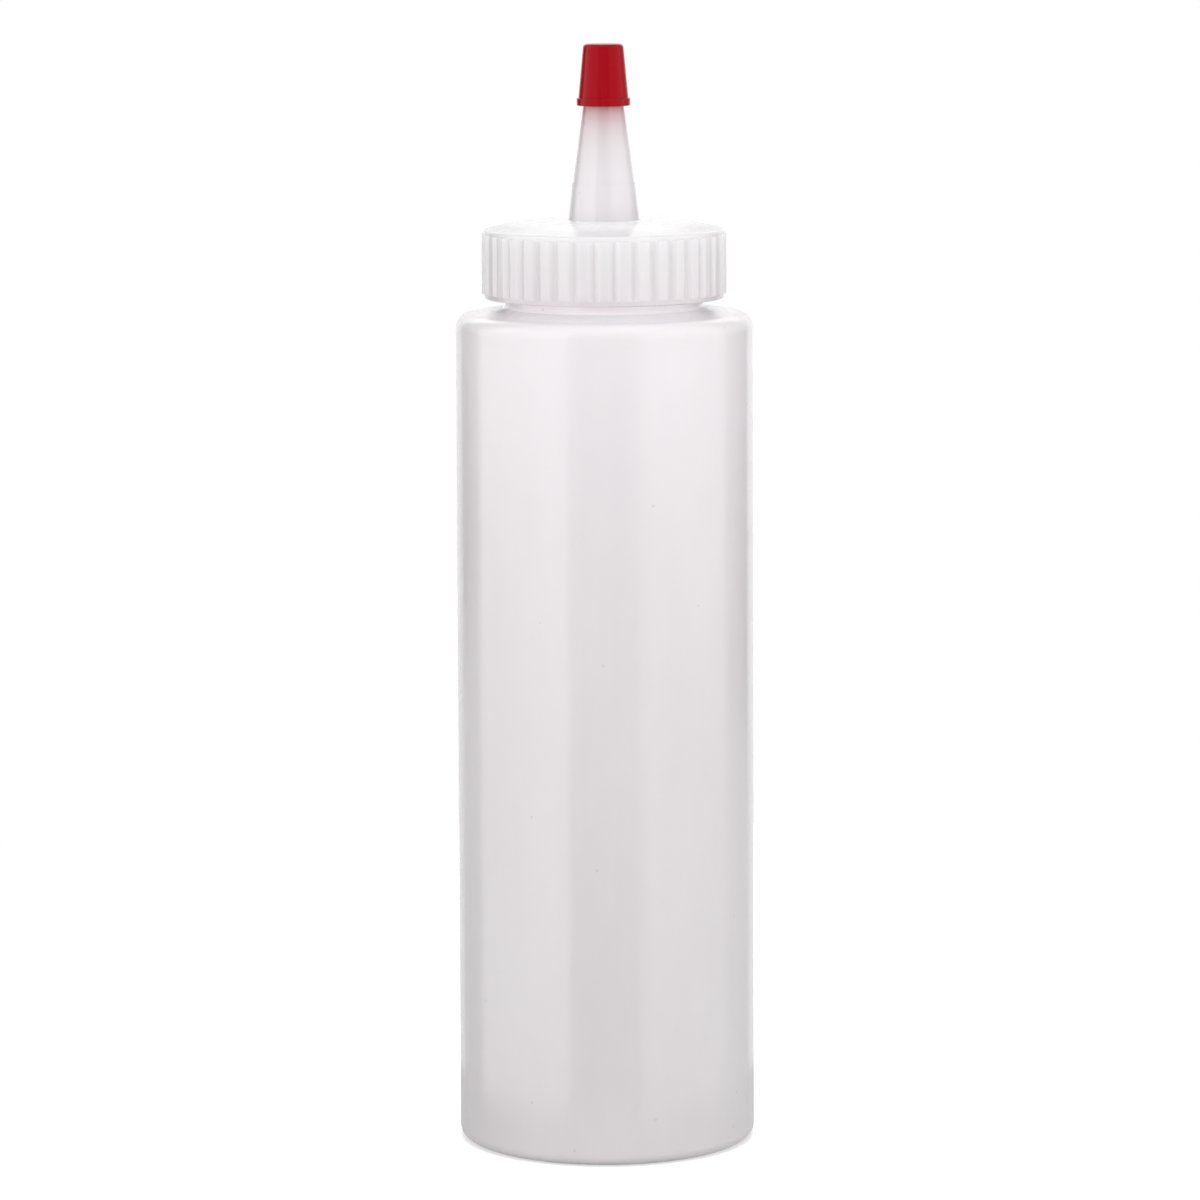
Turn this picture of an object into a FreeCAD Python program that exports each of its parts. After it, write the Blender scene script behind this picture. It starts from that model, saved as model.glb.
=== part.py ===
import FreeCAD, Part
import math
import os
import re

import Sketcher
from FreeCAD import Placement, Rotation, Vector

# A squeeze bottle with an applicator cap, upright on its base.  Millimetres, +Z up, and the
# origin in the middle of the ring that the bottle stands on.
#
#   bottle     blow-moulded body: dished base, straight wall, low shoulder and neck, one open shell
#   spout_cap  one moulding: ribbed skirt, low crown and hollow conical spout, seated on the lip
#   tip_cap    small cup with a rolled lip, seated on the end of the spout

# Driving dimensions: name, value, what it is.
SIZES = [
    ("body_dia", 50.0, "outside of the wall under the shoulder"),
    ("base_dia", 50.4, "outside of the wall at the heel"),
    ("shoulder_height", 141.0, "base to the corner of wall and shoulder, before it is rounded"),
    ("shoulder_slope", 9.5, "rise of the shoulder towards the neck, degrees"),
    ("shoulder_round", 2.5, "outside radius between wall and shoulder"),
    ("heel_round", 2.1, "outside radius between wall and base"),
    ("foot_width", 4.6, "flat ring that the bottle stands on"),
    ("dish_rise", 1.8, "rise of the bottom inside that ring"),
    ("dish_run", 3.2, "width of the slope up to the dished bottom"),
    ("body_wall", 0.8, "thickness of wall and shoulder"),
    ("base_wall", 1.1, "thickness of the bottom"),
    ("neck_dia", 33.3, "plain band at the foot of the neck"),
    ("neck_band", 2.2, "height of that band"),
    ("neck_length", 12.0, "shoulder to lip"),
    ("neck_wall", 1.4, "thickness of the plain band"),
    ("neck_round", 0.5, "radius between shoulder and neck"),
    ("finish_dia", 34.8, "part of the neck that carries the threads"),
    ("lip_round", 0.3, "radius on both edges of the lip"),
    ("thread_room", 1.45, "radial room for the threads between finish and skirt"),
    ("skirt_wall", 1.3, "thickness of the skirt between its ribs"),
    ("skirt_length", 10.5, "seat on the lip to the lower edge of the skirt"),
    ("skirt_round", 0.2, "radius on the lower edges of the skirt"),
    ("disc_thickness", 1.0, "seat on the lip to the edge of the crown on top of the cap"),
    ("disc_round", 0.5, "radius on that edge"),
    ("crown_rise", 1.6, "rise of the crown from its edge to the spout"),
    ("knee_dia", 27.0, "where the slope of the crown eases"),
    ("knee_rise", 1.4, "rise of the crown from its edge to there"),
    ("crown_round", 45.0, "radius that eases the slope"),
    ("rib_count", 38, "ribs round the skirt"),
    ("rib_height", 0.45, "how far a rib stands out"),
    ("rib_foot", 3.0, "width of a rib where it leaves the skirt"),
    ("rib_crest", 1.5, "width of a rib at its crest"),
    ("rib_round", 0.2, "radius along the crest of a rib"),
    ("rib_top_gap", 0.75, "plain band over the ribs"),
    ("rib_low_gap", 0.85, "plain band under the ribs"),
    ("spout_length", 29.5, "edge of the crown to the end of the spout"),
    ("spout_base_dia", 11.9, "spout where it leaves the crown"),
    ("step_height", 7.8, "edge of the crown to the ledge round the spout"),
    ("step_dia", 10.5, "spout just under the ledge"),
    ("step_ledge", 0.1, "width of the ledge"),
    ("spout_end_dia", 4.4, "outside of the end of the spout"),
    ("spout_end_round", 0.3, "radius on that end"),
    ("spout_bore_dia", 9.4, "bore of the spout under the crown"),
    ("orifice_dia", 2.2, "bore of the spout at its end"),
    ("tip_length", 10.3, "height of the tip cap"),
    ("tip_roof", 1.5, "thickness of its closed end"),
    ("tip_top_dia", 6.7, "its closed end, before it is rounded"),
    ("tip_low_dia", 8.4, "its wall just above the lip"),
    ("tip_round", 0.7, "radius on its closed end"),
    ("tip_fit", 0.05, "radial clearance on the spout"),
    ("lip_dia", 9.0, "rolled lip of the tip cap"),
    ("lip_length", 1.25, "height of that lip"),
    ("tip_lip_round", 0.15, "radius on the edges of that lip"),
]

# Sizes that follow from them: name, formula.
DERIVED = {
    "foot_outer": "base_dia / 2 - heel_round",
    "foot_inner": "foot_outer - foot_width",
    "dish_edge": "foot_inner - dish_run",
    "neck_root": "shoulder_height + (body_dia - neck_dia) / 2 * tan(shoulder_slope)",
    "band_top": "neck_root + neck_band",
    "finish_start": "band_top + (finish_dia - neck_dia) / 2",
    "lip_height": "neck_root + neck_length",
    "neck_bore": "neck_dia / 2 - neck_wall",
    "shoulder_drop": "body_wall / cos(shoulder_slope)",
    "skirt_bore": "finish_dia / 2 + thread_room",
    "skirt_outside": "skirt_bore + skirt_wall",
    "cap_height": "skirt_length + disc_thickness",
    "knee_height": "cap_height + knee_rise",
    "spout_foot": "cap_height + crown_rise",
    "step_level": "cap_height + step_height",
    "spout_end": "cap_height + spout_length",
    "cone_slope": "(step_dia / 2 - step_ledge - spout_end_dia / 2) / (spout_length - step_height)",
    "socket_depth": "tip_length - tip_roof",
    "socket_end": "spout_end_dia / 2 + tip_fit",
    "socket_mouth": "socket_end + socket_depth * cone_slope",
    "skirt_edge": "lip_height - skirt_length",
    "tip_edge": "skirt_edge + spout_end - socket_depth",
}

NEAR = 1e-4  # how close an edge lies to the place it is looked for, mm


def make_sheet(document):
    """The driving dimensions, one to a row, each with its alias."""
    sheet = document.addObject("Spreadsheet::Sheet", "Sizes")
    for row, (name, value, note) in enumerate(SIZES, start=1):
        sheet.set(f"A{row}", name)
        sheet.set(f"B{row}", str(value))
        sheet.set(f"C{row}", note)
        sheet.setAlias(f"B{row}", name)
    document.recompute()
    return sheet


def formula(text):
    """Spell out a formula in the sheet's own cells."""
    given = {name for name, _, _ in SIZES}

    def spell(match):
        word = match.group(0)
        if word in DERIVED:
            return f"({formula(DERIVED[word])})"
        return f"Sizes.{word}" if word in given else word

    return re.sub(r"[a-z][a-z_]*", spell, text)


class Piece:
    """A PartDesign body whose sketches and features are bound to the sheet."""

    def __init__(self, document, label, height="0"):
        self.document = document
        self.body = document.addObject("PartDesign::Body", label)
        self.body.Label = label
        self.body.Placement = Placement(Vector(0, 0, 0), Rotation())
        if height != "0":
            self.body.setExpression("Placement.Base.z", formula(height))

    def plane(self, role):
        return next(item for item in self.body.Origin.OriginFeatures if item.Role == role)

    def value(self, text):
        """A formula's number, in millimetres."""
        result = self.body.evalExpression(formula(text))
        return float(getattr(result, "Value", result))

    def sketch(self, name, role):
        sketch = self.body.newObject("Sketcher::SketchObject", name)
        sketch.AttachmentSupport = [(self.plane(role), "")]
        sketch.MapMode = "FlatFace"
        return sketch

    def outline(self, name, corners):
        """A closed outline in the XZ plane: each corner is a radius and a height."""
        sketch = self.sketch(name, "XZ_Plane")
        points = [Vector(self.value(radius), self.value(height), 0) for radius, height in corners]
        for start, end in zip(points, points[1:] + points[:1]):
            sketch.addGeometry(Part.LineSegment(start, end), False)
        for index in range(len(corners)):
            before = (index - 1) % len(corners)
            sketch.addConstraint(Sketcher.Constraint("Coincident", before, 2, index, 1))
        for index, (radius, height) in enumerate(corners):
            self.place(sketch, index, "X", radius, points[index].x)
            self.place(sketch, index, "Y", height, points[index].y)
        return sketch

    def place(self, sketch, index, axis, text, value):
        """Hold the first point of a line on an axis, or at a distance from it."""
        if text == "0":
            line = {"X": -2, "Y": -1}[axis]
            sketch.addConstraint(Sketcher.Constraint("PointOnObject", index, 1, line))
            return
        number = sketch.addConstraint(
            Sketcher.Constraint(f"Distance{axis}", -1, 1, index, 1, value))
        name = f"corner_{index}_{axis.lower()}"
        sketch.renameConstraint(number, name)
        sketch.setExpression(f"Constraints.{name}", formula(text))

    def volume(self):
        return 0 if self.body.Shape.isNull() else self.body.Shape.Volume

    def turn(self, kind, name, corners):
        """Revolve an outline round Z, as a Revolution that adds or a Groove that cuts."""
        before = self.volume()
        sketch = self.outline(f"{name}_outline", corners)
        feature = self.body.newObject(f"PartDesign::{kind}", name)
        feature.Profile = sketch
        feature.ReferenceAxis = (sketch, ["V_Axis"])
        feature.Angle = 360
        self.document.recompute()
        if (self.volume() > before) != (kind == "Revolution"):
            raise RuntimeError(f"{name} of {self.body.Label} points the wrong way")

    def edges(self, wanted, belongs):
        """The names of the tip's edges that belong to a feature, as many as are wanted."""
        edges = enumerate(self.body.Tip.Shape.Edges, start=1)
        names = [f"Edge{number}" for number, edge in edges if belongs(edge)]
        if len(names) != wanted:
            raise RuntimeError(f"{self.body.Label}: {wanted} edges wanted, {len(names)} found")
        return names

    def fillet(self, name, radius, names):
        """A Fillet on the named edges of the tip."""
        base = (self.body.Tip, names)
        fillet = self.body.newObject("PartDesign::Fillet", name)
        fillet.Base = base
        fillet.setExpression("Radius", formula(radius))
        self.body.Tip = fillet
        self.document.recompute()

    def round_circles(self, name, radius, places):
        """A Fillet on circular edges, each given by its radius and height."""
        targets = [(self.value(size), self.value(height)) for size, height in places]

        def on_target(edge):
            if not isinstance(edge.Curve, Part.Circle):
                return False
            size = (edge.Curve.Radius, edge.Curve.Center.z)
            return any(math.dist(size, target) < NEAR for target in targets)

        self.fillet(name, radius, self.edges(len(places), on_target))


def make_bottle(document):
    """Solid outside form, rounded, then the inside cut out of it and rounded to match."""
    piece = Piece(document, "bottle")
    piece.turn("Revolution", "outside", [
        ("0", "dish_rise"),
        ("dish_edge", "dish_rise"),
        ("foot_inner", "0"),
        ("base_dia / 2", "0"),
        ("body_dia / 2", "shoulder_height"),
        ("neck_dia / 2", "neck_root"),
        ("neck_dia / 2", "band_top"),
        ("finish_dia / 2", "finish_start"),
        ("finish_dia / 2", "lip_height"),
        ("0", "lip_height"),
    ])
    piece.round_circles("heel", "heel_round", [("base_dia / 2", "0")])
    piece.round_circles("shoulder", "shoulder_round", [("body_dia / 2", "shoulder_height")])
    piece.round_circles("neck_foot", "neck_round", [("neck_dia / 2", "neck_root")])
    piece.round_circles("dish", "dish_rise / 2", [("dish_edge", "dish_rise"), ("foot_inner", "0")])
    inner_base = "base_dia / 2 - body_wall"
    inner_body = "body_dia / 2 - body_wall"
    inner_corner = "shoulder_height + body_wall * tan(shoulder_slope) - shoulder_drop"
    piece.turn("Groove", "inside", [
        ("0", "dish_rise + base_wall"),
        ("dish_edge", "dish_rise + base_wall"),
        ("foot_inner", "base_wall"),
        (inner_base, "base_wall"),
        (inner_body, inner_corner),
        ("neck_bore", "neck_root + neck_wall * tan(shoulder_slope) - shoulder_drop"),
        ("neck_bore", "lip_height"),
        ("0", "lip_height"),
    ])
    piece.round_circles("inside_heel", "max(heel_round - body_wall; body_wall / 2)",
                        [(inner_base, "base_wall")])
    piece.round_circles("inside_shoulder", "max(shoulder_round - body_wall; body_wall / 2)",
                        [(inner_body, inner_corner)])
    piece.round_circles("lip", "lip_round",
                        [("finish_dia / 2", "lip_height"), ("neck_bore", "lip_height")])
    return piece.body


def make_spout_cap(document):
    """Cap and spout turned as one, hollowed from below, then ribbed round the skirt."""
    piece = Piece(document, "spout_cap", "skirt_edge")
    piece.turn("Revolution", "outside_cap", [
        ("0", "0"),
        ("skirt_outside", "0"),
        ("skirt_outside", "cap_height"),
        ("knee_dia / 2", "knee_height"),
        ("spout_base_dia / 2", "spout_foot"),
        ("step_dia / 2", "step_level"),
        ("step_dia / 2 - step_ledge", "step_level"),
        ("spout_end_dia / 2", "spout_end"),
        ("0", "spout_end"),
    ])
    piece.turn("Groove", "hollow", [
        ("0", "0"),
        ("skirt_bore", "0"),
        ("skirt_bore", "skirt_length"),
        ("neck_bore", "skirt_length"),
        ("spout_bore_dia / 2", "spout_foot - disc_thickness"),
        ("orifice_dia / 2", "spout_end"),
        ("0", "spout_end"),
    ])
    piece.round_circles("disc_edge", "disc_round", [("skirt_outside", "cap_height")])
    piece.round_circles("crown_knee", "crown_round", [("knee_dia / 2", "knee_height")])
    piece.round_circles("spout_end_edge", "spout_end_round", [("spout_end_dia / 2", "spout_end")])
    piece.round_circles("skirt_edges", "skirt_round", [("skirt_outside", "0"), ("skirt_bore", "0")])
    add_ribs(piece)
    return piece.body


def add_ribs(piece):
    """One rib on the skirt at -Y, repeated round the axis, then every crest rounded."""
    sketch = piece.sketch("rib_outline", "XY_Plane")
    sketch.AttachmentOffset = Placement(Vector(0, 0, 0), Rotation(Vector(0, 0, 1), -90))
    sketch.setExpression("AttachmentOffset.Base.z", formula("rib_low_gap"))
    corners = [
        ("skirt_outside - skirt_wall / 2", "rib_foot / 2"),
        ("sqrt(skirt_outside ^ 2 - rib_foot ^ 2 / 4)", "rib_foot / 2"),
        ("skirt_outside + rib_height", "rib_crest / 2"),
    ]
    half = [Vector(piece.value(radius), piece.value(width), 0) for radius, width in corners]
    points = half + [Vector(point.x, -point.y, 0) for point in reversed(half)]
    for start, end in zip(points, points[1:] + points[:1]):
        sketch.addGeometry(Part.LineSegment(start, end), False)
    for index in range(len(points)):
        before = (index - 1) % len(points)
        sketch.addConstraint(Sketcher.Constraint("Coincident", before, 2, index, 1))
    for index, (radius, width) in enumerate(corners):
        piece.place(sketch, index, "X", radius, half[index].x)
        piece.place(sketch, index, "Y", width, half[index].y)
        mirrored = len(points) - 1 - index
        sketch.addConstraint(Sketcher.Constraint("Symmetric", index, 1, mirrored, 1, -1))
    rib = piece.body.newObject("PartDesign::Pad", "rib")
    rib.Profile = sketch
    rib.setExpression("Length", formula("cap_height - rib_top_gap - rib_low_gap"))
    piece.document.recompute()
    pattern = piece.body.newObject("PartDesign::PolarPattern", "ribs")
    pattern.Originals = [rib]
    pattern.Axis = (sketch, ["N_Axis"])
    pattern.Angle = 360
    pattern.setExpression("Occurrences", formula("rib_count"))
    piece.body.Tip = pattern
    piece.document.recompute()
    crest = half[-1].Length

    def on_crest(edge):
        """Whether an edge runs upright along a corner of a crest."""
        ends = [vertex.Point for vertex in edge.Vertexes]
        upright = abs(ends[0].z - ends[-1].z) > NEAR
        return upright and all(abs(math.hypot(end.x, end.y) - crest) < NEAR for end in ends)

    piece.fillet("rib_crests", "rib_round", piece.edges(2 * pattern.Occurrences, on_crest))


def make_tip_cap(document):
    """A small cup, open below, that fits the taper of the spout and seats on its end."""
    piece = Piece(document, "tip_cap", "tip_edge")
    piece.turn("Revolution", "outside_tip", [
        ("0", "0"),
        ("lip_dia / 2", "0"),
        ("lip_dia / 2", "lip_length"),
        ("tip_low_dia / 2", "lip_length"),
        ("tip_top_dia / 2", "tip_length"),
        ("0", "tip_length"),
    ])
    piece.turn("Groove", "socket", [
        ("0", "0"),
        ("socket_mouth", "0"),
        ("socket_end", "socket_depth"),
        ("0", "socket_depth"),
    ])
    piece.round_circles("crown", "tip_round", [("tip_top_dia / 2", "tip_length")])
    piece.round_circles("rolled_lip", "tip_lip_round",
                        [("lip_dia / 2", "0"), ("lip_dia / 2", "lip_length")])
    return piece.body


def check(document, bodies):
    """Stop on any object that failed, and on any sub-part that isn't one sound solid."""
    for item in document.Objects:
        if {"Invalid", "Error"} & set(item.State):
            raise RuntimeError(f"{item.Name} failed: {item.State}")
    for body in bodies:
        shape = body.Shape
        if shape.isNull() or not shape.isValid() or len(shape.Solids) != 1:
            raise RuntimeError(f"{body.Label} isn't one sound solid")


def main():
    document = FreeCAD.newDocument("applicator_bottle")
    make_sheet(document)
    bodies = [make_bottle(document), make_spout_cap(document), make_tip_cap(document)]
    document.recompute()
    check(document, bodies)
    os.makedirs("parts", exist_ok=True)
    for body in bodies:
        body.Shape.exportStep(f"parts/{body.Label}.step")
        print(f"{body.Label}: {body.Shape.Volume:.1f} mm3, {len(body.Shape.Faces)} faces")


main()
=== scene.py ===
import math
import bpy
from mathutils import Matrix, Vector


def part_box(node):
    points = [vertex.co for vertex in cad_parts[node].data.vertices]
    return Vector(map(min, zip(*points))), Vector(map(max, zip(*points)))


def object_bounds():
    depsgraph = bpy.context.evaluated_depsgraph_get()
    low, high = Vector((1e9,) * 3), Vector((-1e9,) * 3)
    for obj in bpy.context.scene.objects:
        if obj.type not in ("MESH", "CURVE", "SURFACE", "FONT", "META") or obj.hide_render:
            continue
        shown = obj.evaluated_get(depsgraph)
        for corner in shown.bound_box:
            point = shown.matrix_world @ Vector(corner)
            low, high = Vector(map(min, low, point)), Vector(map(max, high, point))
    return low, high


bl_info = {
    "name": "Applicator Squeeze Bottle",
    "version": (1, 0, 0),
    "blender": (4, 5, 0),
    "location": "View3D > Sidebar > Squeeze Bottle",
    "description": "Finishes and studio stage for a squeeze bottle with a spout cap",
    "category": "Object",
}

import bmesh
import bpy
from bpy.props import FloatProperty, FloatVectorProperty, PointerProperty
from mathutils import Matrix, Vector

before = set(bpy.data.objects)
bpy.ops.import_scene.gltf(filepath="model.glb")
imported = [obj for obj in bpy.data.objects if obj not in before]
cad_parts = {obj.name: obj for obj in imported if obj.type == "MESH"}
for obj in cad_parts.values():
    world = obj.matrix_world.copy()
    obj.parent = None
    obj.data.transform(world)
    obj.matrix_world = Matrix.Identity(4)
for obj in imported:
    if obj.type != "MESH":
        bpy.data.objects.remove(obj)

CAD_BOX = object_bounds()
WHITE = (1, 1, 1, 1)
BLACK = 0
NOISE_SPAN = (0.3, 0.7)  # nearly all of a noise texture's values
PLASTIC_IOR = 1.51
SEAM = 0.0005  # width over which one finish turns into the next
CARD_HEIGHTS = (-0.6, 1.0)
BEHIND = (145, 215)  # azimuths of the backdrop


def colour(name, description, default):
    return FloatVectorProperty(name=name, description=description, default=default,
                               subtype="COLOR", size=3, min=0, max=1)


def length(name, description, default):
    return FloatProperty(name=name, description=description, default=default,
                         unit="LENGTH", precision=4)


def share(name, description, default):
    return FloatProperty(name=name, description=description, default=default,
                         subtype="FACTOR", min=0, max=1)


def angle(name, description, degrees):
    return FloatProperty(name=name, description=description, default=math.radians(degrees),
                         subtype="ANGLE", unit="ROTATION")


def number(name, description, default):
    return FloatProperty(name=name, description=description, default=default, min=0)


class MilkyPlastic(bpy.types.PropertyGroup):
    """Natural polyethylene, milky because it has no dye."""
    bottle_colour: colour("Bottle", "Colour of the blow-moulded wall", (0.896, 0.821, 0.85))
    cap_colour: colour("Cap", "Colour of the moulded cap", (0.98, 0.922, 0.954))
    # Painted shade: the cap's colour turns to these two darker colours towards the skirt's open edge and
    # towards the spout's foot.
    skirt_edge_shade: colour("Skirt", "Colour at the skirt's open edge", (0.775, 0.732, 0.755))
    spout_foot_shade: colour("Spout", "Colour of the spout's thin foot", (0.69, 0.664, 0.68))
    spout_radius: length("Spout radius", "Of the spout where it leaves the cap's top", 0.006)
    spout_foot: length("Spout foot", "Height of that place above the skirt's edge", 0.0131)
    cap_gloss: share("Cap gloss", "Strength of the mirror image on the ribs and the cap's top", 0.35)
    spout_gloss: share("Spout gloss", "Strength of the mirror image on the spout", 0.5)
    roughness: share("Roughness", "Softness of the mirror image on the wall", 0.2)
    haze: share("Haze", "Share of light that goes into the plastic", 0.7)
    haze_depth: length("Haze depth", "How far light spreads inside the bottle's wall", 0.003)
    cap_haze_depth: length("Cap haze depth", "How far light spreads inside the cap", 0.004)
    haze_spread: colour("Haze spread", "Spread of red, green and blue light in the haze", (1, 0.95, 0.97))
    clouds: share("Clouds", "Unevenness of the tint", 0.03)
    cloud_size: length("Cloud size", "Width of the uneven patches", 0.016)
    cloud_flow: share("Cloud flow", "Width of the patches against their height", 0.35)
    grain: share("Grain", "Unevenness of the gloss", 0.06)
    grain_size: length("Grain size", "Size of the dull and glossy patches", 0.0012)
    ripple: length("Ripple", "Height of the mould's orange peel", 0.000005)
    specks: share("Specks", "Darkness of the rare dark specks", 0.12)
    speck_size: share("Speck size", "Radius of a speck against its cell", 0.035)
    speck_spacing: length("Speck spacing", "Size of the cells that hold a speck each", 0.007)


class RedPlastic(bpy.types.PropertyGroup):
    """Dyed plastic of the tip cap."""
    red: colour("Red", "Colour of the tip cap", (0.37, 0.006, 0.012))
    roughness: share("Roughness", "Softness of the mirror image", 0.2)
    gloss: share("Gloss", "Strength of the mirror image", 0.25)
    mirror_tint: colour("Mirror tint", "Colour of the mirror image", (1, 0.15, 0.18))
    grains: number("Grains", "Uneven patches to a metre", 900)
    tint_grain: share("Tint grain", "Unevenness of the tint", 0.02)
    gloss_grain: share("Gloss grain", "Unevenness of the gloss", 0.04)
    glow: colour("Glow", "Red light that the tip cap sheds on the spout", (0.55, 0.27, 0.29))
    glow_length: length("Glow length", "How far that light reaches down the spout", 0.02)
    glow_fade: number("Glow fade", "How steeply that light falls off", 5)


class Studio(bpy.types.PropertyGroup):
    """Camera, lamps, cards and floor."""
    camera_distance: length("Camera distance", "From the bottle's axis", 0.924)
    camera_height: length("Camera height", "Above the floor", 0.2215)
    camera_pitch: angle("Camera pitch", "Downward tilt", 7.952)
    camera_yaw: angle("Camera yaw", "Turn to the left", 0.0567)
    camera_roll: angle("Camera roll", "Lean of the camera to the right", 0.233)
    camera_lens: number("Lens", "Focal length in millimetres", 165)
    ambient: number("Ambient", "Light from all round, against a white of one", 0.71)
    front_power: number("Front power", "Watts of the lamp at the camera", 0.85)
    top_power: number("Top power", "Watts of the lamp overhead", 0.79)
    right_power: number("Right power", "Watts of the lamp on the right", 0.54)
    neck_glow: number("Neck glow", "Watts of the light gathered under the neck", 0.0088)
    card_distance: length("Card distance", "From the bottle's axis", 0.7)
    left_softbox: number("Left softbox", "Its brightness in mirror images", 2.0)
    right_softbox: number("Right softbox", "Its brightness in mirror images", 1.25)
    right_window: number("Right window", "Its brightness in mirror images", 0.3)
    low_backdrop: number("Low backdrop", "Its brightness in mirror images", 1.05)
    backdrop: number("Backdrop", "Its brightness in mirror images", 1.05)
    high_backdrop: number("High backdrop", "Its brightness in mirror images", 1.7)
    overhead: number("Overhead", "Brightness of the card overhead in mirror images", 1.5)
    overhead_radius: length("Overhead radius", "Of the card overhead", 0.35)
    overhead_height: length("Overhead height", "Of the card overhead", 0.9)
    table: number("Table", "Brightness of the white table in mirror images", 0.66)
    table_radius: length("Table radius", "Of the white table", 0.065)
    floor_radius: length("Floor radius", "Of the floor", 0.3)
    floor_grey: share("Floor grey", "How much lamp light the floor sends back", 0.52)
    # Painted contact shadow: the floor's white glow for the camera is dimmed to this share between these
    # two edges; the real shadow adds to it.
    contact: share("Contact", "White that the floor keeps in the bottle's contact shadow", 0.5)
    contact_start: length("Contact start", "Inner edge of that shadow, inside the bottle's outline", 0.0005)
    contact_end: length("Contact end", "Outer edge of that shadow, outside the outline", 0.0008)


class SqueezeBottle(bpy.types.PropertyGroup):
    milky: PointerProperty(type=MilkyPlastic)
    red: PointerProperty(type=RedPlastic)
    studio: PointerProperty(type=Studio)


def node(tree, kind, inputs=None, **settings):
    """Add a shader node.  Each named input gets a value, or a link from another node's socket."""
    item = tree.nodes.new(kind)
    for name, value in settings.items():
        setattr(item, name, value)
    for name, value in (inputs or {}).items():
        put(tree, item.inputs[name], value)
    return item


def put(tree, socket, value):
    if isinstance(value, bpy.types.NodeSocket):
        tree.links.new(value, socket)
    else:
        socket.default_value = value


def ramp(tree, value, start, end):
    """A value carried over from one pair of numbers to another, and held between them."""
    inputs = {"Value": value, "From Min": start[0], "From Max": start[1],
              "To Min": end[0], "To Max": end[1]}
    return node(tree, "ShaderNodeMapRange", inputs).outputs["Result"]


def sums(tree, operation, first, second):
    return node(tree, "ShaderNodeMath", {0: first, 1: second}, operation=operation).outputs[0]


def blend(tree, factor, first, second):
    """A colour between two colours."""
    return node(tree, "ShaderNodeMix", {"Factor": factor, 6: first, 7: second},
                data_type="RGBA").outputs[2]


def new_material(name):
    material = bpy.data.materials.new(name)
    material.use_nodes = True
    return material, material.node_tree, material.node_tree.nodes["Principled BSDF"]


def milky(name, tint, haze_depth, looks):
    """Milky plastic: uneven tint, rare dark specks, uneven gloss and a faint orange peel."""
    material, tree, shader = new_material(name)
    place = node(tree, "ShaderNodeTexCoord").outputs["Object"]
    stretched = node(tree, "ShaderNodeMapping", {"Vector": place, "Scale": (1, 1, looks.cloud_flow)})
    clouds = node(tree, "ShaderNodeTexNoise", {"Vector": stretched.outputs[0], "Detail": 3,
                                               "Scale": 1 / looks.cloud_size})
    uneven = ramp(tree, clouds.outputs[0], NOISE_SPAN, (1 - looks.clouds, 1 + looks.clouds))
    cells = node(tree, "ShaderNodeTexVoronoi", {"Vector": place, "Scale": 1 / looks.speck_spacing})
    speck = sums(tree, "LESS_THAN", cells.outputs["Distance"], looks.speck_size)
    darker = sums(tree, "SUBTRACT", uneven, sums(tree, "MULTIPLY", speck, looks.specks))
    tinted = node(tree, "ShaderNodeHueSaturation", {"Value": darker, "Color": (*tint, 1)})
    grain = node(tree, "ShaderNodeTexNoise", {"Vector": place, "Scale": 1 / looks.grain_size})
    gloss = ramp(tree, grain.outputs[0], NOISE_SPAN,
                 (looks.roughness - looks.grain, looks.roughness + looks.grain))
    peel = node(tree, "ShaderNodeBump", {"Height": grain.outputs[0], "Distance": looks.ripple})
    put(tree, shader.inputs["Base Color"], tinted.outputs[0])
    put(tree, shader.inputs["Roughness"], gloss)
    put(tree, shader.inputs["Normal"], peel.outputs[0])
    put(tree, shader.inputs["IOR"], PLASTIC_IOR)
    put(tree, shader.inputs["Subsurface Weight"], looks.haze)
    put(tree, shader.inputs["Subsurface Radius"], looks.haze_spread)
    put(tree, shader.inputs["Subsurface Scale"], haze_depth)
    return material


def paint_cap_shade(material, box, looks):
    """Paint shade into the cap's colour where its wall is thin and little light comes back: darker towards
    the skirt's open edge and towards the spout's foot. The spout also gets its own gloss.
    """
    tree = material.node_tree
    shader = tree.nodes["Principled BSDF"]
    tint = shader.inputs["Base Color"].links[0].from_node
    place = node(tree, "ShaderNodeTexCoord").outputs["Object"]
    flat = node(tree, "ShaderNodeVectorMath", {0: place, 1: (1, 1, 0)}, operation="MULTIPLY")
    radius = node(tree, "ShaderNodeVectorMath", {0: flat.outputs[0]}, operation="LENGTH")
    rim = looks.spout_radius
    outside = ramp(tree, radius.outputs["Value"], (rim, rim + SEAM), (0, 1))
    height = node(tree, "ShaderNodeSeparateXYZ", {0: place}).outputs["Z"]
    edge, foot, end = box[0].z, box[0].z + looks.spout_foot, box[1].z
    # Painted shade: the cap's own colour blends into the darker skirt-edge colour below the spout's foot,
    # and into the darker spout-foot colour at the bottom of the spout.
    unshaded_cap = (*looks.cap_colour, 1)
    skirt = blend(tree, ramp(tree, height, (edge, foot), (0, 1)), (*looks.skirt_edge_shade, 1), unshaded_cap)
    spout = blend(tree, ramp(tree, height, (foot, end), (0, 1)), (*looks.spout_foot_shade, 1), unshaded_cap)
    put(tree, tint.inputs["Color"], blend(tree, outside, spout, skirt))
    put(tree, shader.inputs["Specular IOR Level"],
        ramp(tree, outside, (0, 1), (looks.spout_gloss, looks.cap_gloss)))


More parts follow.
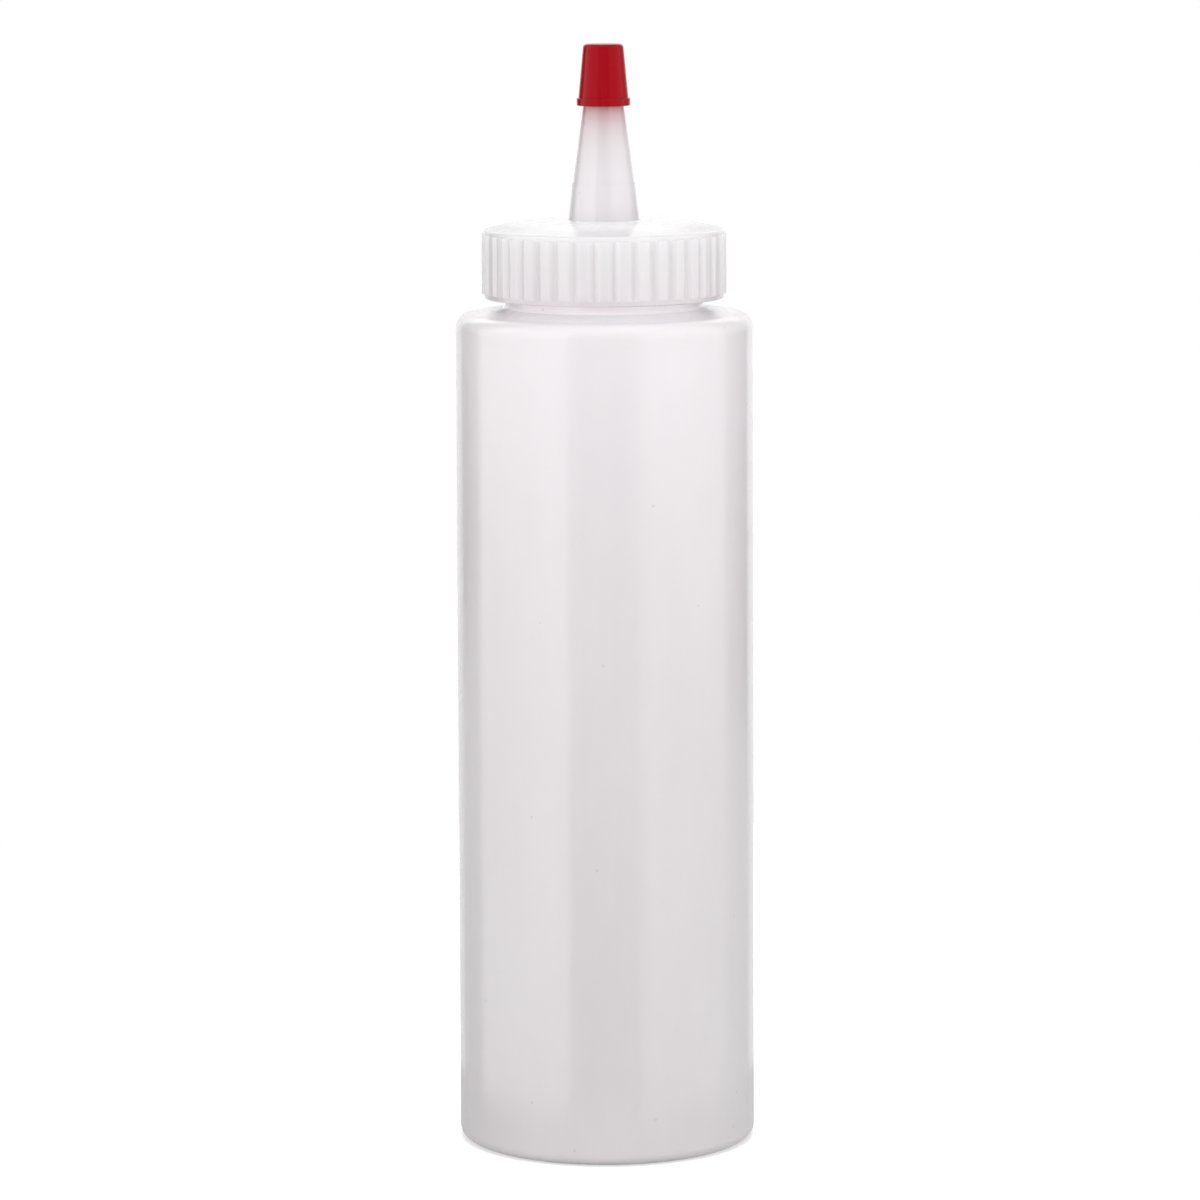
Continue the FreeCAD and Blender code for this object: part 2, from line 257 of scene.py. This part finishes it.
def paint_tip_glow(material, edge, looks):
    """Paint red light on the plastic under an edge, where the light has come through the red tip."""
    tree = material.node_tree
    shader = tree.nodes["Principled BSDF"]
    plain = shader.inputs["Base Color"].links[0].from_socket
    place = node(tree, "ShaderNodeTexCoord").outputs["Object"]
    height = node(tree, "ShaderNodeSeparateXYZ", {0: place}).outputs["Z"]
    # Painted red light: strongest right under the tip cap's edge, fading down the spout.
    near = ramp(tree, height, (edge - looks.glow_length, edge), (0, 1))
    strength = sums(tree, "POWER", near, looks.glow_fade)
    put(tree, shader.inputs["Base Color"], blend(tree, strength, plain, (*looks.glow, 1)))


def finish_node(name, material):
    """Give a CAD node its finish."""
    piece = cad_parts[name]
    piece.data.materials.clear()
    piece.data.materials.append(material)


class BottleFinish(bpy.types.Operator):
    """Give the bottle its milky finish"""
    bl_idname = "squeeze_bottle.bottle"
    bl_label = "Bottle"

    def execute(self, context):
        looks = context.scene.squeeze_bottle.milky
        wall = milky("milky_wall", looks.bottle_colour, looks.haze_depth, looks)
        finish_node("bottle", wall)
        return {"FINISHED"}


class CapFinish(bpy.types.Operator):
    """Give the spout cap its milky finish, with painted shade towards the skirt's edge and the spout's
    foot, and painted red light near the tip cap
    """
    bl_idname = "squeeze_bottle.spout_cap"
    bl_label = "Spout Cap"

    def execute(self, context):
        looks = context.scene.squeeze_bottle
        milk = looks.milky
        material = milky("milky_cap", milk.cap_colour, milk.cap_haze_depth, milk)
        paint_cap_shade(material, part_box("spout_cap"), milk)
        paint_tip_glow(material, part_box("tip_cap")[0].z, looks.red)
        finish_node("spout_cap", material)
        return {"FINISHED"}


class TipFinish(bpy.types.Operator):
    """Give the tip cap its red finish"""
    bl_idname = "squeeze_bottle.tip_cap"
    bl_label = "Tip Cap"

    def execute(self, context):
        looks = context.scene.squeeze_bottle.red
        material, tree, shader = new_material("red_plastic")
        place = node(tree, "ShaderNodeTexCoord").outputs["Object"]
        grain = node(tree, "ShaderNodeTexNoise", {"Vector": place, "Scale": looks.grains})
        uneven = ramp(tree, grain.outputs[0], NOISE_SPAN, (1 - looks.tint_grain, 1 + looks.tint_grain))
        tinted = node(tree, "ShaderNodeHueSaturation", {"Value": uneven, "Color": (*looks.red, 1)})
        gloss = ramp(tree, grain.outputs[0], NOISE_SPAN,
                     (looks.roughness - looks.gloss_grain, looks.roughness + looks.gloss_grain))
        put(tree, shader.inputs["Base Color"], tinted.outputs[0])
        put(tree, shader.inputs["Roughness"], gloss)
        put(tree, shader.inputs["Specular IOR Level"], looks.gloss)
        put(tree, shader.inputs["Specular Tint"], (*looks.mirror_tint, 1))
        finish_node("tip_cap", material)
        return {"FINISHED"}


def around(azimuth, distance, height):
    """A place at an azimuth from the camera's side, positive to the right."""
    turn = math.radians(azimuth)
    return Vector((distance * math.sin(turn), -distance * math.cos(turn), height))


def lamp(name, place, aim, size, power, tint=(1, 1, 1)):
    """A soft lamp for the plain shading.  Mirror images come from the cards."""
    light = bpy.data.lights.new(name, "AREA")
    light.shape = "DISK"
    light.size = size
    light.energy = power
    light.color = tint
    item = bpy.data.objects.new(name, light)
    bpy.context.scene.collection.objects.link(item)
    item.location = place
    item.rotation_euler = (aim - place).to_track_quat("-Z", "Y").to_euler()
    item.visible_camera = False
    item.visible_glossy = False


def mirrored(name, mesh, shade):
    """A glowing surface that is seen only in mirror images."""
    material = bpy.data.materials.new(name)
    material.use_nodes = True
    material.cycles.emission_sampling = "NONE"
    tree = material.node_tree
    tree.nodes.clear()
    glow = node(tree, "ShaderNodeEmission", {"Color": WHITE, "Strength": shade})
    node(tree, "ShaderNodeOutputMaterial", {"Surface": glow.outputs[0]})
    mesh.materials.append(material)
    item = bpy.data.objects.new(name, mesh)
    bpy.context.scene.collection.objects.link(item)
    item.visible_camera = False
    item.visible_shadow = False
    item.visible_diffuse = False
    item.visible_transmission = False
    return item


def card(name, azimuths, heights, shade, distance):
    """A bent card, part of an upright cylinder about the bottle."""
    start, end = azimuths
    steps = 16
    corners = [around(start + (end - start) * step / steps, distance, height)
               for step in range(steps + 1) for height in heights]
    faces = [(2 * step, 2 * step + 2, 2 * step + 3, 2 * step + 1) for step in range(steps)]
    mesh = bpy.data.meshes.new(name)
    mesh.from_pydata(corners, [], faces)
    mirrored(name, mesh, shade)


def disc(name, radius):
    """A flat disc on the ground."""
    mesh = bpy.data.meshes.new(name)
    shape = bmesh.new()
    bmesh.ops.create_circle(shape, cap_ends=True, segments=96, radius=radius)
    shape.to_mesh(mesh)
    shape.free()
    return mesh


def make_world(ambient):
    """White for the camera, and a softer light on everything else."""
    world = bpy.data.worlds.new("white_room")
    world.use_nodes = True
    bpy.context.scene.world = world
    tree = world.node_tree
    tree.nodes.clear()
    seen = node(tree, "ShaderNodeLightPath").outputs["Is Camera Ray"]
    background = node(tree, "ShaderNodeBackground",
                      {"Color": WHITE, "Strength": ramp(tree, seen, (0, 1), (ambient, 1))})
    node(tree, "ShaderNodeOutputWorld", {"Surface": background.outputs[0]})


def make_floor(edge, looks):
    """A pale floor that glows white for the camera away from the bottle, with a painted contact shadow: the
    glow is dimmed in a narrow ring at the bottle's outline, where the real shadow on the paper deepens it.
    """
    mesh = disc("floor", looks.floor_radius)
    floor = bpy.data.objects.new("floor", mesh)
    bpy.context.scene.collection.objects.link(floor)
    material = bpy.data.materials.new("floor_paper")
    material.use_nodes = True
    tree = material.node_tree
    tree.nodes.clear()
    grey = looks.floor_grey
    paper = node(tree, "ShaderNodeBsdfDiffuse", {"Color": (grey, grey, grey, 1)})
    place = node(tree, "ShaderNodeTexCoord").outputs["Object"]
    reach = node(tree, "ShaderNodeVectorMath", {0: place}, operation="LENGTH").outputs["Value"]
    # Painted contact shadow: a darker ring at the bottle's outline, on top of the real shadow that the
    # diffuse paper keeps.
    shadow = (edge - looks.contact_start, edge + looks.contact_end)
    white = ramp(tree, reach, shadow, (looks.contact, 1))
    path = node(tree, "ShaderNodeLightPath")
    strength = sums(tree, "MULTIPLY", white, path.outputs["Is Camera Ray"])
    glow = node(tree, "ShaderNodeEmission", {"Color": WHITE, "Strength": strength})
    both = node(tree, "ShaderNodeAddShader", {0: paper.outputs[0], 1: glow.outputs[0]})
    node(tree, "ShaderNodeOutputMaterial", {"Surface": both.outputs[0]})
    mesh.materials.append(material)
    floor.visible_glossy = False


def make_camera(looks):
    data = bpy.data.cameras.new("camera")
    data.sensor_width = 36
    data.lens = looks.camera_lens
    data.clip_end = 100
    item = bpy.data.objects.new("camera", data)
    bpy.context.scene.collection.objects.link(item)
    turn = (Matrix.Rotation(looks.camera_yaw, 4, "Z")
            @ Matrix.Rotation(math.pi / 2 - looks.camera_pitch, 4, "X")
            @ Matrix.Rotation(-looks.camera_roll, 4, "Z"))
    item.matrix_world = Matrix.Translation((0, -looks.camera_distance, looks.camera_height)) @ turn
    bpy.context.scene.camera = item


class Stage(bpy.types.Operator):
    """Set up the camera, the lamps, the cards, the floor and the white room"""
    bl_idname = "squeeze_bottle.stage"
    bl_label = "Studio Stage"

    def execute(self, context):
        looks = context.scene.squeeze_bottle.studio
        context.scene.view_settings.view_transform = "Standard"
        make_camera(looks)
        make_world(looks.ambient)
        make_floor(CAD_BOX[1].x, looks)
        middle = (CAD_BOX[0] + CAD_BOX[1]) / 2
        skirt = Vector((0, 0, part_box("spout_cap")[0].z))
        lamp("front", around(azimuth=-4, distance=0.5, height=skirt.z), aim=skirt,
             size=0.3, power=looks.front_power)
        lamp("top", around(azimuth=0, distance=0.08, height=0.9), aim=middle,
             size=0.5, power=looks.top_power, tint=(0.98, 1, 1))
        lamp("right", around(azimuth=95, distance=0.5, height=0.04), aim=middle,
             size=0.4, power=looks.right_power)
        under_neck = skirt - Vector((0, 0, 0.0055))
        lamp("neck_glow", under_neck, aim=skirt,
             size=0.042, power=looks.neck_glow, tint=(0.85, 1, 0.96))
        for name, azimuths, heights, shade in (
                ("camera_side", (-28, 28), CARD_HEIGHTS, BLACK),
                ("left_softbox", (-112, -28), CARD_HEIGHTS, looks.left_softbox),
                ("right_softbox", (28, 106), CARD_HEIGHTS, looks.right_softbox),
                ("left_gap", (-144, -112), (-0.01, 1.0), BLACK),
                ("right_gap", (106, 144), (-0.04, 0.12), BLACK),
                ("right_window", (106, 144), (0.12, 1.0), looks.right_window),
                ("low_backdrop", BEHIND, (-0.6, 0.18), looks.low_backdrop),
                ("backdrop", BEHIND, (0.18, 0.4), looks.backdrop),
                ("high_backdrop", BEHIND, (0.4, 0.75), looks.high_backdrop)):
            card(name, azimuths, heights, shade, looks.card_distance)
        ceiling = mirrored("overhead", disc("overhead", looks.overhead_radius), looks.overhead)
        ceiling.location.z = looks.overhead_height
        mirrored("table", disc("table", looks.table_radius), looks.table)
        return {"FINISHED"}


class SqueezeBottlePanel(bpy.types.Panel):
    bl_idname = "VIEW3D_PT_squeeze_bottle"
    bl_label = "Squeeze Bottle"
    bl_space_type = "VIEW_3D"
    bl_region_type = "UI"
    bl_category = "Squeeze Bottle"

    def draw(self, context):
        for operator in OPERATORS:
            self.layout.operator(operator.bl_idname)
        looks = context.scene.squeeze_bottle
        for group in (looks.milky, looks.red, looks.studio):
            column = self.layout.column()
            for name in group.bl_rna.properties.keys():
                if name not in ("rna_type", "name"):
                    column.prop(group, name)


OPERATORS = (BottleFinish, CapFinish, TipFinish, Stage)
GROUPS = (MilkyPlastic, RedPlastic, Studio, SqueezeBottle)


def register():
    for item in (*GROUPS, *OPERATORS, SqueezeBottlePanel):
        bpy.utils.register_class(item)
    bpy.types.Scene.squeeze_bottle = PointerProperty(type=SqueezeBottle)


def unregister():
    del bpy.types.Scene.squeeze_bottle
    for item in reversed((*GROUPS, *OPERATORS, SqueezeBottlePanel)):
        bpy.utils.unregister_class(item)


def main():
    register()
    bpy.ops.squeeze_bottle.bottle()
    bpy.ops.squeeze_bottle.spout_cap()
    bpy.ops.squeeze_bottle.tip_cap()
    bpy.ops.squeeze_bottle.stage()


if __name__ == "__main__":
    main()
